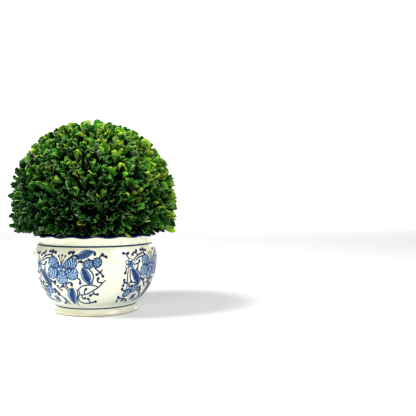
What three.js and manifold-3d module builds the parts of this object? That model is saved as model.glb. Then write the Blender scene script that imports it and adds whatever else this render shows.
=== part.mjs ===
// A preserved box dome, clipped to a half ball, in a fishbowl pot with a scalloped lip.
// Millimetres, +Z up. The origin is the centre of the pot's foot, on the table. The front faces -Y.
import * as THREE from "three";
import { mergeVertices } from "three/addons/utils/BufferGeometryUtils.js";
import Module from "manifold-3d";

const wasm = await Module();
wasm.setup();

// Driving sizes of the pot
const BELLY_RADIUS = 109;
const BELLY_HEIGHT = 92;
const BELLY_CURVE_CENTRE = 40; // distance from the axis at which both belly curves are centred
const BELLY_DROP = 86; // half height of the curve below the belly
const BELLY_RISE = 62.8; // half height of the curve above it
const FOOT_RADIUS = 75.4;
const FOOT_WAIST_RADIUS = 72.4;
const FOOT_WAIST_HEIGHT = 12.6;
const FOOT_RING_WIDTH = 9;
const FOOT_RECESS = 4.5;
const FOOT_ROUNDING = 1;
const NECK_RADIUS = 100.4;
const NECK_HEIGHT = 123;
const LIP_RADIUS = 107;
const LIP_HEIGHT = 137.6;
const LIP_THICKNESS = 5.2;
const LIP_EDGE_DROP = 3.4; // from the lip's top down to its outermost line
const LIP_ROUNDING = 1.2;
const WALL = 6;
const FLOOR = 8;
const FLOOR_RADIUS = 59;
const FLOOR_CORNER_RISE = 7; // from the cavity's floor to where its wall begins
const SCALLOPS = 16;
const SCALLOP_REACH = 1.5;
const SCALLOP_DIP = 1.0;
const POT_SIDES = 80;

// Driving sizes of the plant
const CROWN_RADIUS = 148.4;
const CROWN_SQUARENESS = 2.1; // 2 is a round outline, more fills out its shoulders
const CROWN_CENTRE = new THREE.Vector3(-2.4, 0, 191);
const CROWN_FLOOR = 137; // lowest leaf tips
const SKIRT_SAG = 4; // how much lower they hang on the +X side
const CROWN_UNDERCUT = 3; // how far the skirt draws in below the widest line
const RIM_CLEARANCE_RADIUS = 110.5; // leaves inside this radius stay above the lip
const RIM_CLEARANCE_HEIGHT = 140.2;
const CORE_DEPTH = 16; // from the leaf tips in to the core
const CORE_FLOOR = 140.2;
const CORE_CORNER = 10;
const CORE_PLUG_RADIUS = 89; // the part of the core that reaches down into the pot's mouth
const CORE_PLUG_FLOOR = 126;
const CORE_SIDES = 30;
const TWIGS = 140;
const LOWEST_RISE = -0.34; // sine of the lowest twig's slope
const LOWEST_FORK = 171; // height at which the first twigs leave the stem
const FORK_CLIMB = 15; // how much higher the upright ones leave it
const CROWN_STEM_TIP_RADIUS = 6.5;
const TWIG_ROOT_RADIUS = 3;
const TWIG_TIP_RADIUS = 1.8;
const TWIG_TIP_DEPTH = 17.5; // from the outline in to a twig's tip
const TIP_SCATTER = 4;
const LEAN_SCATTER = 0.16;
const LEAF_LENGTH = 24;
const LEAF_WIDTH = 13.5;
const LEAF_THICKNESS = 1.6;
const LEAF_SHOULDER = 0.64; // the widest place, as a share of the length
const LEAF_OFFSET = 0.3; // a leaf's root ends inside its twig, this far from the axis
const PAIR_SPACING = 8.5;
const LAST_PAIR_DEPTH = 1; // from a twig's tip back to its last pair
const PAIR_ANGLES = [0.4, 0.78]; // of the tip pair and the one below, from the twig
const OPENING_SCATTER = 0.24;
const LENGTH_SCATTER = 0.2;
const SHORTEST_LEAF = 0.62; // a leaf that the crown's edge would cut shorter is left out
const SMALLEST_EDGE = 0.05;
const SEED = 2417;

// Driving sizes of what stands between
const FILLING_TOP = 107;
const FILLING_SIDES = 40;
const FIT_GAP = 0.5;
const JOINT_GAP = 0.3;
const STEM_TOP = 122;
const STEM_RADIUS = 9.5;
const STEM_FLARE = 15;
const STEM_FLARE_POWER = 2.4; // how quickly the flare dies away upwards
const STEM_SIDES = 14;
const STEM_RIB_SHARE = 0.07;
const STEM_RIBS = 3;

const GOLDEN_ANGLE = Math.PI * (3 - Math.sqrt(5));

const GLAZE = new THREE.MeshStandardMaterial({ color: 0xf1f0e2, roughness: 0.12, metalness: 0 });
const FOAM = new THREE.MeshStandardMaterial({ color: 0x5a5138, roughness: 0.95, metalness: 0 });
const BARK = new THREE.MeshStandardMaterial({ color: 0x8a7452, roughness: 0.85, metalness: 0 });
const LEAF = new THREE.MeshStandardMaterial({ color: 0x2c5a1e, roughness: 0.5, metalness: 0 });

function named(name, geometry, material) {
  const mesh = new THREE.Mesh(geometry, material);
  mesh.name = name;
  return mesh;
}

function lathe(profile, sides) {
  const points = profile.map(([radius, height]) => new THREE.Vector2(radius, height));
  return new THREE.LatheGeometry(points, sides).rotateX(Math.PI / 2);
}

// The same draws for a seed on any machine, each from 0 to 1.
function seededDraws(seed) {
  let state = seed;
  return () => {
    state = (state * 1664525 + 1013904223) % 4294967296;
    return state / 4294967296;
  };
}

// Pot

// Radius of the belly's outer face at a height.
function bellyRadius(height) {
  const half = height < BELLY_HEIGHT ? BELLY_DROP : BELLY_RISE;
  const share = (height - BELLY_HEIGHT) / half;
  return BELLY_CURVE_CENTRE + (BELLY_RADIUS - BELLY_CURVE_CENTRE) * Math.sqrt(1 - share * share);
}

// Heights spread evenly between two ends, both included.
function steps(from, to, count) {
  return Array.from({ length: count + 1 }, (_, i) => from + ((to - from) * i) / count);
}

function potOutside() {
  const footBottom = [
    [0, FOOT_RECESS],
    [FOOT_RADIUS - FOOT_RING_WIDTH - FOOT_RECESS / 2, FOOT_RECESS],
    [FOOT_RADIUS - FOOT_RING_WIDTH, 0],
    [FOOT_RADIUS - FOOT_ROUNDING, 0],
    [FOOT_RADIUS, FOOT_ROUNDING],
    [FOOT_WAIST_RADIUS + 0.7, FOOT_WAIST_HEIGHT * 0.44],
    [FOOT_WAIST_RADIUS, FOOT_WAIST_HEIGHT - 1],
  ];
  const belly = steps(FOOT_WAIST_HEIGHT + 4.5, NECK_HEIGHT - 3, 10).map((z) => [bellyRadius(z), z]);
  const neck = [
    [NECK_RADIUS, NECK_HEIGHT],
    [NECK_RADIUS + 1.6, NECK_HEIGHT + 4.5],
    [LIP_RADIUS - 2.4, LIP_HEIGHT - 6],
  ];
  const lip = [
    [LIP_RADIUS, LIP_HEIGHT - LIP_EDGE_DROP],
    [LIP_RADIUS - LIP_ROUNDING / 2, LIP_HEIGHT - LIP_ROUNDING],
    [LIP_RADIUS - LIP_THICKNESS / 2, LIP_HEIGHT],
    [LIP_RADIUS - LIP_THICKNESS, LIP_HEIGHT - LIP_ROUNDING],
  ];
  return [...footBottom, ...belly, ...neck, ...lip];
}

// The cavity's wall from the filling's top down to the floor's edge, as radius and height.
function filledWall() {
  const heights = steps(FILLING_TOP, FOOT_RECESS + FLOOR + FLOOR_CORNER_RISE, 5);
  return heights.map((z) => [bellyRadius(z) - WALL, z]);
}

function potGeometry() {
  const floorTop = FOOT_RECESS + FLOOR;
  const profile = [
    ...potOutside(),
    [NECK_RADIUS - WALL + 1.5, NECK_HEIGHT + 3],
    [bellyRadius(NECK_HEIGHT - 4) - WALL, NECK_HEIGHT - 4],
    ...filledWall(),
    [FLOOR_RADIUS, floorTop],
    [0, floorTop],
  ];
  const geometry = lathe(profile, POT_SIDES);
  scallopLip(geometry);
  return geometry;
}

// Draws the lip out and down at each lobe, fading to nothing at the neck.
function scallopLip(geometry) {
  const place = geometry.getAttribute("position");
  for (let i = 0; i < place.count; i++) {
    const x = place.getX(i);
    const y = place.getY(i);
    const z = place.getZ(i);
    const share = THREE.MathUtils.smoothstep(z, NECK_HEIGHT, LIP_HEIGHT - LIP_EDGE_DROP);
    const radius = Math.hypot(x, y);
    if (share === 0 || radius === 0) continue;
    const lobe = share * Math.cos(SCALLOPS * Math.atan2(y, x));
    const stretch = 1 + (SCALLOP_REACH * lobe) / radius;
    place.setXYZ(i, x * stretch, y * stretch, z - SCALLOP_DIP * lobe);
  }
}

// Filling and stem

function fillingGeometry() {
  const wall = filledWall().map(([radius, z]) => [radius - FIT_GAP, z]);
  const base = FOOT_RECESS + FLOOR + JOINT_GAP;
  const profile = [
    [0, base],
    [FLOOR_RADIUS - FIT_GAP, base],
    ...wall.reverse(),
    [0, FILLING_TOP],
  ];
  return lathe(profile, FILLING_SIDES);
}

// Short stem, flared where it stands on the filling, with low ribs along it.
function stemGeometry() {
  const bottom = FILLING_TOP + JOINT_GAP;
  const height = STEM_TOP - bottom;
  const rings = steps(0, 1, 4).map((t) => [
    STEM_RADIUS + (STEM_FLARE - STEM_RADIUS) * (1 - t) ** STEM_FLARE_POWER,
    bottom + height * t,
  ]);
  const geometry = lathe([[0, bottom], ...rings, [0, STEM_TOP]], STEM_SIDES);
  const place = geometry.getAttribute("position");
  for (let i = 0; i < place.count; i++) {
    const x = place.getX(i);
    const y = place.getY(i);
    const swell = 1 + STEM_RIB_SHARE * Math.cos(STEM_RIBS * Math.atan2(y, x));
    place.setXYZ(i, x * swell, y * swell, place.getZ(i));
  }
  return geometry;
}

// Foliage

function solidFrom(geometry) {
  const bare = new THREE.BufferGeometry().setAttribute("position", geometry.getAttribute("position"));
  if (geometry.index) bare.setIndex(geometry.index);
  const merged = mergeVertices(bare, 1e-3);
  return new wasm.Manifold(
    new wasm.Mesh({
      numProp: 3,
      vertProperties: merged.getAttribute("position").array,
      triVerts: new Uint32Array(merged.index.array),
    }),
  );
}

function geometryFrom(solid) {
  const { vertProperties, triVerts } = solid.getMesh();
  const geometry = new THREE.BufferGeometry();
  geometry.setAttribute("position", new THREE.BufferAttribute(vertProperties, 3));
  geometry.setIndex(new THREE.BufferAttribute(triVerts, 1));
  return geometry;
}

// Radius of the clipped outline at a height, measured from the crown's own axis.
function crownRadius(height) {
  const rise = height - CROWN_CENTRE.z;
  if (rise > CROWN_RADIUS) return 0;
  if (rise > 0) return CROWN_RADIUS * (1 - (rise / CROWN_RADIUS) ** CROWN_SQUARENESS) ** (1 / CROWN_SQUARENESS);
  const share = rise / (CROWN_CENTRE.z - CROWN_FLOOR);
  return CROWN_RADIUS - CROWN_UNDERCUT * share * share;
}

// How far out the clipped outline lies from the crown's centre in a direction.
function reachAlong(direction) {
  let inside = 0;
  let outside = CROWN_RADIUS * 1.3;
  for (let i = 0; i < 24; i++) {
    const middle = (inside + outside) / 2;
    const point = direction.clone().multiplyScalar(middle).add(CROWN_CENTRE);
    if (inCrown(point)) inside = middle;
    else outside = middle;
  }
  return inside;
}

function inCrown(point) {
  const fromCrownAxis = Math.hypot(point.x - CROWN_CENTRE.x, point.y - CROWN_CENTRE.y);
  const overRim = Math.hypot(point.x, point.y) < RIM_CLEARANCE_RADIUS;
  const sag = SKIRT_SAG * Math.max(0, point.x / CROWN_RADIUS) ** 2;
  const floor = overRim ? RIM_CLEARANCE_HEIGHT : CROWN_FLOOR - sag;
  return point.z >= floor && fromCrownAxis < crownRadius(point.z);
}

// The core that the twigs stand out of: the crown's outline drawn in, with a rounded lower edge.
function coreSolid() {
  const radius = CROWN_RADIUS - CORE_DEPTH;
  const skirt = crownRadius(CORE_FLOOR + CORE_CORNER) - CORE_DEPTH;
  const corner = steps(0, Math.PI / 2, 3).map((a) => [
    skirt - CORE_CORNER * (1 - Math.sin(a)),
    CORE_FLOOR + CORE_CORNER * (1 - Math.cos(a)),
  ]);
  const dome = steps(0, Math.PI / 2, 8).map((a) => [
    radius * Math.cos(a) ** (2 / CROWN_SQUARENESS),
    CROWN_CENTRE.z + radius * Math.sin(a) ** (2 / CROWN_SQUARENESS),
  ]);
  const peak = dome.pop();
  const plug = [
    [0, CORE_PLUG_FLOOR],
    [CORE_PLUG_RADIUS, CORE_PLUG_FLOOR],
    [CORE_PLUG_RADIUS, CORE_FLOOR],
  ];
  const geometry = lathe([...plug, ...corner, ...dome, [0, peak[1]]], CORE_SIDES);
  return solidFrom(geometry.translate(CROWN_CENTRE.x, CROWN_CENTRE.y, 0));
}

// The part of the stem that belongs to the foliage, from its joint up to the twigs' highest fork.
function crownStemSolid() {
  const bottom = STEM_TOP + JOINT_GAP;
  const height = LOWEST_FORK + FORK_CLIMB - bottom;
  const geometry = new THREE.CylinderGeometry(CROWN_STEM_TIP_RADIUS, STEM_RADIUS, height, STEM_SIDES);
  geometry.rotateX(Math.PI / 2).translate(0, 0, bottom + height / 2);
  return solidFrom(geometry);
}

// Moves a shape so that its +Z points along a direction from a place and its +Y along the facing.
function placeAlong(geometry, place, direction, facing) {
  const across = facing.clone().cross(direction);
  const basis = new THREE.Matrix4().makeBasis(across, facing, direction);
  return geometry.applyMatrix4(basis.setPosition(place));
}

function twigSolid(root, tip) {
  const along = tip.clone().sub(root);
  const length = along.length();
  const direction = along.normalize();
  const facing = new THREE.Vector3(-direction.y, direction.x, 0).normalize();
  const geometry = new THREE.CylinderGeometry(TWIG_TIP_RADIUS, TWIG_ROOT_RADIUS, length, 3);
  geometry.rotateX(Math.PI / 2).translate(0, 0, length / 2);
  return solidFrom(placeAlong(geometry, root, direction, facing));
}

// A blade of eight faces, widest past its middle. Its broad faces look along +Y.
function leafSolid(place, direction, facing, length) {
  const geometry = new THREE.OctahedronGeometry(1);
  const scale = length / LEAF_LENGTH;
  geometry.scale((LEAF_WIDTH * scale) / 2, LEAF_THICKNESS / 2, length / 2);
  const points = geometry.getAttribute("position");
  for (let i = 0; i < points.count; i++) {
    const z = points.getZ(i);
    const middle = Math.abs(z) < 1e-6;
    points.setZ(i, middle ? LEAF_SHOULDER * length : z + length / 2);
  }
  return solidFrom(placeAlong(geometry, place, direction, facing));
}

// Directions spread evenly over the crown, from its top down past the widest line.
function crownDirections(count) {
  return Array.from({ length: count }, (_, i) => {
    const rise = 1 - ((i + 0.5) / count) * (1 - LOWEST_RISE);
    const spread = Math.sqrt(1 - rise * rise);
    const turn = i * GOLDEN_ANGLE;
    return new THREE.Vector3(spread * Math.cos(turn), spread * Math.sin(turn), rise);
  });
}

// A leaf's length, cut back where it would leave the crown, or 0 where too little is left.
function fittingLength(root, direction, facing, wanted) {
  const across = facing.clone().cross(direction);
  for (let length = wanted; length >= wanted * SHORTEST_LEAF; length -= 1) {
    const tip = root.clone().addScaledVector(direction, length);
    const shoulder = root.clone().addScaledVector(direction, length * LEAF_SHOULDER);
    const halfWidth = (LEAF_WIDTH * length) / LEAF_LENGTH / 2;
    const sides = [-halfWidth, halfWidth].map((offset) => shoulder.clone().addScaledVector(across, offset));
    if ([tip, ...sides].every(inCrown)) return length;
  }
  return 0;
}

// One twig from the stem out to the clipped outline, with crossed pairs of leaves near its tip.
function sprayAlong(direction, draw) {
  const lean = new THREE.Vector3(draw() - 0.5, draw() - 0.5, draw() - 0.5).multiplyScalar(2 * LEAN_SCATTER);
  const heading = direction.clone().add(lean).normalize();
  const depth = TWIG_TIP_DEPTH + TIP_SCATTER * draw();
  const tip = direction.clone().multiplyScalar(reachAlong(direction) - depth).add(CROWN_CENTRE);
  const fork = new THREE.Vector3(0, 0, LOWEST_FORK + FORK_CLIMB * Math.max(0, direction.z));
  const solids = [twigSolid(fork, tip)];
  const turn = draw() * Math.PI;
  const crossways = new THREE.Vector3(-heading.y, heading.x, 0).normalize();
  PAIR_ANGLES.forEach((angle, pair) => {
    const node = tip.clone().addScaledVector(heading, -pair * PAIR_SPACING - LAST_PAIR_DEPTH);
    for (const half of [0, Math.PI]) {
      const side = crossways.clone().applyAxisAngle(heading, turn + half + (pair * Math.PI) / 2);
      const opening = angle + OPENING_SCATTER * (draw() - 0.5);
      const leafward = heading.clone().multiplyScalar(Math.cos(opening)).addScaledVector(side, Math.sin(opening));
      const facing = side.clone().multiplyScalar(Math.cos(opening)).addScaledVector(heading, -Math.sin(opening));
      const wanted = LEAF_LENGTH * (1 + LENGTH_SCATTER * (draw() - 0.5));
      const root = node.clone().addScaledVector(side, LEAF_OFFSET);
      const length = fittingLength(root, leafward, facing, wanted);
      if (length > 0) solids.push(leafSolid(root, leafward, facing, length));
    }
  });
  return solids;
}

function foliageGeometry() {
  const draw = seededDraws(SEED);
  const solids = [coreSolid(), crownStemSolid()];
  for (const direction of crownDirections(TWIGS)) solids.push(...sprayAlong(direction, draw));
  const pieces = wasm.Manifold.union(solids).simplify(SMALLEST_EDGE).decompose();
  return geometryFrom(pieces.reduce((most, piece) => (piece.volume() > most.volume() ? piece : most)));
}

const topiary = new THREE.Group();
topiary.add(
  named("pot", potGeometry(), GLAZE),
  named("pot_filling", fillingGeometry(), FOAM),
  named("stem", stemGeometry(), BARK),
  named("foliage_dome", foliageGeometry(), LEAF),
);

export default topiary;
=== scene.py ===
import math

import bmesh
import bpy
from mathutils import Matrix, Vector


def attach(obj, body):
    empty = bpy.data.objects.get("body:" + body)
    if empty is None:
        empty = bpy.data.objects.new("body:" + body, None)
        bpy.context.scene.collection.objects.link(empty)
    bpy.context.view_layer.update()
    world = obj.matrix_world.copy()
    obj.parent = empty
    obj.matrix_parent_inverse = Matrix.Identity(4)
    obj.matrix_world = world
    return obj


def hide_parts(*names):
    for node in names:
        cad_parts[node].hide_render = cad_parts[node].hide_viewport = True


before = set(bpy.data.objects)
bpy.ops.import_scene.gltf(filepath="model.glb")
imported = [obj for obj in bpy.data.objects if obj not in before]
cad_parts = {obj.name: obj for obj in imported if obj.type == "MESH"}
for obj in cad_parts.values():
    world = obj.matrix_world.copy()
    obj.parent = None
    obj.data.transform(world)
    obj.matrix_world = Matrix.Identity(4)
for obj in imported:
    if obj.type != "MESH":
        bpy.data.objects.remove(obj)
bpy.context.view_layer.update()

MM = 0.001
UP = Vector((0, 0, 1))

# Camera
CAMERA_PLACE = (0.202, -1.102, 0.2045)
CAMERA_DROP = 1.18  # degrees below level
FOCAL_PIXELS = 612.3
FRAME_PIXELS = 416
SENSOR_WIDTH = 36

# Pot
BELLY_RADIUS = 109
BELLY_HEIGHT = 92
BELLY_CURVE_CENTRE = 40
BELLY_DROP = 86
BELLY_RISE = 62.8
BELLY_FOOT = 16.4
FOOT_RADIUS = 75.4
FOOT_WAIST_RADIUS = 72.4
FOOT_RING_WIDTH = 9
FOOT_RECESS = 4.5
NECK_RADIUS = 100.4
NECK_HEIGHT = 123
LIP_RADIUS = 107
LIP_HEIGHT = 137.6
LIP_THICKNESS = 5.2
LIP_EDGE_DROP = 3.4
WALL = 6
INNER_WALL = (119, 19.5)  # from its top down to its foot
INNER_FLOOR = 12.5
INNER_FLOOR_RADIUS = 59
SCALLOPS = 16
SCALLOP_REACH = 1.5
SCALLOP_DIP = 1.0
POT_STEPS = 192
BAND_FLOOR = 134  # lower edge of the blue lip
UPPER_LINE = (118.7, 121.3)
LOWER_LINE = (11.5, 14.1)
CLAY_EDGE = 1.4

# Crown: the clipped outline
CROWN_RADIUS = 147.2
CROWN_SQUARENESS = 2.02  # 2 is a round outline, more fills out its shoulders
CROWN_CENTRE = Vector((-2.4, 0, 191))
CROWN_FLOOR = 140
CROWN_UNDERCUT = 3
SKIRT_SAG = 4
RIM_CLEARANCE_RADIUS = 110.5
RIM_CLEARANCE_HEIGHT = 142.2
LOWEST_RISE = -0.34  # how far down the lowest boughs point, on a unit ball
OUTLINE_SEARCHES = 18

# Stem, boughs and core
SEED = 2417
STEM_FOOT = 107.3
STEM_TOP = 122
STEM_RADIUS = 9.5
STEM_FLARE = 15
STEM_GAP = 0.3
CROWN_STEM_TIP = 6.2
LOWEST_FORK = 171
FORK_CLIMB = 15
BOUGHS = 140
BOUGH_RADIUS = 3.0
ROD_TAPER = 0.55
ROD_GUIDE = Vector((0.3, 0.5, 0.8))  # only settles how a rod is turned about its own length
BOUGH_TIP_DEPTH = 30
BOUGH_SET_BACK = 10
CORE_DEPTH = 32
CORE_FLOOR = 146
CORE_RIPPLE = 2.2
CORE_RIPPLE_RATES = (0.31, 0.27, 0.23)  # radians per millimetre along each axis
PLUG_RADIUS = 88
PLUG_FLOOR = 127

# Sprigs
SPRIGS = 1000
SPRIG_DROP = 0.02  # how much lower than the boughs the lowest sprigs point
AIM_SCATTER = 0.07
SPRIG_TIP_DEPTH = 9
SPRIG_TIP_SCATTER = 12
SPRIG_TIP_BUNCHING = 1.6  # above 1 most tips lie near the outline
SPRIG_FORK_DEPTH = 42
SMALLEST_SPRIG = 0.85
SPRIG_SPAN = 0.25
TWIG_RADIUS = 0.95
TWIG_END_RADIUS = 0.75
LEAN_SCATTER = 0.65
LIGHT_SEEKING = 0.6
LIGHT_REACH = 1.0
NODE_SPACING = 7
PAIRS = 5
# Inner leaves are coloured near black as painted shade inside the crown.
BRIGHT_PAIRS = 2  # the outer pairs, with a tint, and the rest are dark inner leaves
SAME_TINT = 0.3

# Leaves
LEAF_LENGTH = 21.4
LEAF_WIDTH = 10.6
LEAF_THICKNESS = 0.75
LEAF_FORMS = ((0.28, 0.05), (0.36, 0.0), (0.2, 0.14), (-0.1, 0.1))  # cup and arch of each
INNER_LEAF_FORM = (0.15, 0.08)
LEAF_SHOULDER = 0.7  # about where along it a leaf is widest
TIP_NOTCH = 0.035
RIM_SLOPE = 0.35  # faces steeper than this are a leaf's rim
FIRST_OPENING = 0.15
OPENING_STEP = 0.17
OPENING_SCATTER = 0.2
SPIN_SCATTER = 0.3
LEAF_STRAY = 0.55
LIGHT_TWIST = 0.45
YOUNGEST_LEAF = 0.76
OLDER_LEAF_STEP = 0.08
LEAF_SPAN = 0.2
LARGE_LEAVES = 0.07
LARGE_LEAF = 1.3
BREADTH_LOW = 0.52
BREADTH_SPAN = 0.48
SMALLEST_FIT = 0.78
SHRINK_STEP = 0.06
TIP_PLAY = 2.5  # how far a leaf's tip may stand out of the outline

GOLDEN_ANGLE = math.pi * (3 - math.sqrt(5))


def place_camera():
    lens = bpy.data.cameras.new("table_camera")
    lens.sensor_width = SENSOR_WIDTH
    lens.lens = SENSOR_WIDTH * FOCAL_PIXELS / FRAME_PIXELS
    camera = bpy.data.objects.new("table_camera", lens)
    camera.location = CAMERA_PLACE
    camera.rotation_euler = (math.radians(90 - CAMERA_DROP), 0, 0)
    bpy.context.scene.collection.objects.link(camera)
    bpy.context.scene.camera = camera


place_camera()


# Finishes

def finish_of(name, colour, roughness, **sockets):
    """A plain finish, with the rest of its shader's sockets by name."""
    material = bpy.data.materials.new(name)
    material.use_nodes = True
    shader = material.node_tree.nodes["Principled BSDF"]
    shader.inputs["Base Color"].default_value = (*colour, 1)
    shader.inputs["Roughness"].default_value = roughness
    for socket, value in sockets.items():
        shader.inputs[socket.replace("_", " ")].default_value = value
    return material


def noise_in(material, scale, detail=3):
    """A noise over the piece's own coordinates, scale in bumps per metre."""
    nodes, links = material.node_tree.nodes, material.node_tree.links
    coordinates = nodes.new("ShaderNodeTexCoord")
    noise = nodes.new("ShaderNodeTexNoise")
    noise.inputs["Scale"].default_value = scale
    noise.inputs["Detail"].default_value = detail
    links.new(coordinates.outputs["Object"], noise.inputs["Vector"])
    return noise.outputs["Fac"]


def ramp_between(material, source, stops):
    """Colours by a value from 0 to 1, each stop as (value, colour)."""
    nodes, links = material.node_tree.nodes, material.node_tree.links
    ramp = nodes.new("ShaderNodeValToRGB")
    while len(ramp.color_ramp.elements) < len(stops):
        ramp.color_ramp.elements.new(0.5)
    for element, (value, colour) in zip(ramp.color_ramp.elements, stops):
        element.position = value
        element.color = (*colour, 1)
    links.new(source, ramp.inputs["Fac"])
    return ramp.outputs["Color"]


def colour_by(material, source, stops):
    shader = material.node_tree.nodes["Principled BSDF"]
    material.node_tree.links.new(ramp_between(material, source, stops), shader.inputs["Base Color"])


def blend_by_height(material, low_height, low, high_height, high):
    """Goes from one colour to another between two heights, in metres."""
    nodes, links = material.node_tree.nodes, material.node_tree.links
    coordinates = nodes.new("ShaderNodeTexCoord")
    parts = nodes.new("ShaderNodeSeparateXYZ")
    share = nodes.new("ShaderNodeMapRange")
    share.inputs["From Min"].default_value = low_height
    share.inputs["From Max"].default_value = high_height
    mix = nodes.new("ShaderNodeMixRGB")
    links.new(coordinates.outputs["Object"], parts.inputs["Vector"])
    links.new(parts.outputs["Z"], share.inputs["Value"])
    links.new(share.outputs["Result"], mix.inputs["Fac"])
    links.new(low, mix.inputs["Color1"])
    links.new(high, mix.inputs["Color2"])
    links.new(mix.outputs["Color"], nodes["Principled BSDF"].inputs["Base Color"])


def bump_by(material, source, strength, distance):
    nodes, links = material.node_tree.nodes, material.node_tree.links
    bump = nodes.new("ShaderNodeBump")
    bump.inputs["Strength"].default_value = strength
    bump.inputs["Distance"].default_value = distance
    links.new(source, bump.inputs["Height"])
    links.new(bump.outputs["Normal"], nodes["Principled BSDF"].inputs["Normal"])


def glaze_finish():
    """Cream glaze, cloudy, with faint ripples, and greyer towards the foot as painted shade, since the light
    falls from above.
    """
    glaze = finish_of("cream_glaze", (0.8, 0.8, 0.64), 0.12, Coat_Weight=0.3, Coat_Roughness=0.05)
    clouds = noise_in(glaze, 22, 4)
    # The low colours are painted shade, darker and greyer on the lower belly.
    low = ramp_between(glaze, clouds, [(0.3, (0.6, 0.62, 0.49)), (0.7, (0.64, 0.66, 0.56))])
    high = ramp_between(glaze, clouds, [(0.3, (0.79, 0.78, 0.57)), (0.7, (0.81, 0.815, 0.68))])
    blend_by_height(glaze, 0.022, low, 0.068, high)
    bump_by(glaze, noise_in(glaze, 60, 2), 0.12, 0.0008)
    return glaze


def foot_finish():
    """The same glaze over buff clay, thinner and warmer on the foot."""
    foot = finish_of("warm_glaze", (0.72, 0.7, 0.52), 0.16, Coat_Weight=0.3, Coat_Roughness=0.05)
    colour_by(foot, noise_in(foot, 40, 4), [(0.34, (0.64, 0.62, 0.43)), (0.62, (0.71, 0.7, 0.55))])
    return foot


def paint_finish(name, thin, thick):
    """Cobalt brushed under the glaze, thinner and thicker in places."""
    paint = finish_of(name, thick, 0.14, Specular_IOR_Level=0.2, Coat_Weight=0.06, Coat_Roughness=0.05)
    colour_by(paint, noise_in(paint, 260), [(0.38, thick), (0.66, thin)])
    return paint


def clay_finish():
    clay = finish_of("bare_clay", (0.42, 0.33, 0.22), 0.85)
    grain = noise_in(clay, 900, 4)
    colour_by(clay, grain, [(0.35, (0.3, 0.22, 0.14)), (0.7, (0.52, 0.43, 0.3))])
    bump_by(clay, grain, 0.4, 0.0003)
    return clay


def bark_finish():
    bark = finish_of("box_bark", (0.2, 0.16, 0.09), 0.85)
    ridges = noise_in(bark, 420, 6)
    colour_by(bark, ridges, [(0.35, (0.09, 0.07, 0.035)), (0.7, (0.27, 0.22, 0.12))])
    bump_by(bark, ridges, 0.7, 0.0006)
    return bark


def moss_finish():
    # The moss is coloured near black, partly its own dark colour and partly painted shade in the crown's
    # gaps.
    moss = finish_of("moss_and_shade", (0.003, 0.006, 0.002), 0.95, Specular_IOR_Level=0.05)
    tufts = noise_in(moss, 500, 5)
    colour_by(moss, tufts, [(0.35, (0.001, 0.003, 0.001)), (0.7, (0.006, 0.012, 0.004))])
    bump_by(moss, tufts, 0.9, 0.002)
    return moss


def twig_finish():
    twig = finish_of("green_twig", (0.05, 0.07, 0.02), 0.7)
    colour_by(twig, noise_in(twig, 200), [(0.35, (0.03, 0.05, 0.012)), (0.7, (0.08, 0.09, 0.03))])
    return twig


def foam_finish():
    foam = finish_of("flower_foam", (0.1, 0.08, 0.04), 0.95)
    cells = noise_in(foam, 1200, 4)
    colour_by(foam, cells, [(0.3, (0.06, 0.05, 0.02)), (0.7, (0.14, 0.12, 0.06))])
    bump_by(foam, cells, 0.6, 0.0005)
    return foam


def leaf_finishes(name, upper, under, edge):
    return [
        finish_of("leaf_%s_upper" % name, upper, 0.4, Specular_IOR_Level=0.22),
        finish_of("leaf_%s_under" % name, under, 0.6, Specular_IOR_Level=0.1),
        # The rim's pale colour is partly the leaf's pale margin and partly a painted highlight where the
        # edges catch light.
        finish_of("leaf_%s_edge" % name, edge, 0.5, Specular_IOR_Level=0.2),
    ]


# Meshes

def piece_from(bm, name, finishes, slot, *nodes, smooth=True):
    """Turns a bmesh in millimetres into a piece of the object that rides on its root."""
    bmesh.ops.scale(bm, vec=(MM, MM, MM), verts=bm.verts)
    mesh = bpy.data.meshes.new(name)
    if smooth:
        for face in bm.faces:
            face.smooth = True
    bm.to_mesh(mesh)
    bm.free()
    for finish in finishes:
        mesh.materials.append(finish)
    piece = bpy.data.objects.new(name, mesh)
    bpy.context.scene.collection.objects.link(piece)
    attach(piece, "root")
    if nodes:
        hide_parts(*nodes)
    return piece


def spun(profile, steps):
    """The solid that a profile of (radius, height) sweeps round the axis, closed on itself or at the axis."""
    bm = bmesh.new()
    chain = [bm.verts.new((radius, 0, height)) for radius, height in profile]
    edges = [bm.edges.new(pair) for pair in zip(chain, chain[1:])]
    bmesh.ops.spin(
        bm, geom=chain + edges, cent=(0, 0, 0), axis=UP, dvec=(0, 0, 0),
        angle=2 * math.pi, steps=steps, use_merge=True, use_duplicate=False,
    )
    bmesh.ops.remove_doubles(bm, verts=bm.verts, dist=1e-3)
    bmesh.ops.recalc_face_normals(bm, faces=bm.faces)
    return bm


def steps_between(start, end, count):
    return [start + (end - start) * i / count for i in range(count + 1)]


# Pot

def belly_radius(height):
    half = BELLY_DROP if height < BELLY_HEIGHT else BELLY_RISE
    share = (height - BELLY_HEIGHT) / half
    return BELLY_CURVE_CENTRE + (BELLY_RADIUS - BELLY_CURVE_CENTRE) * math.sqrt(1 - share * share)


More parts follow.
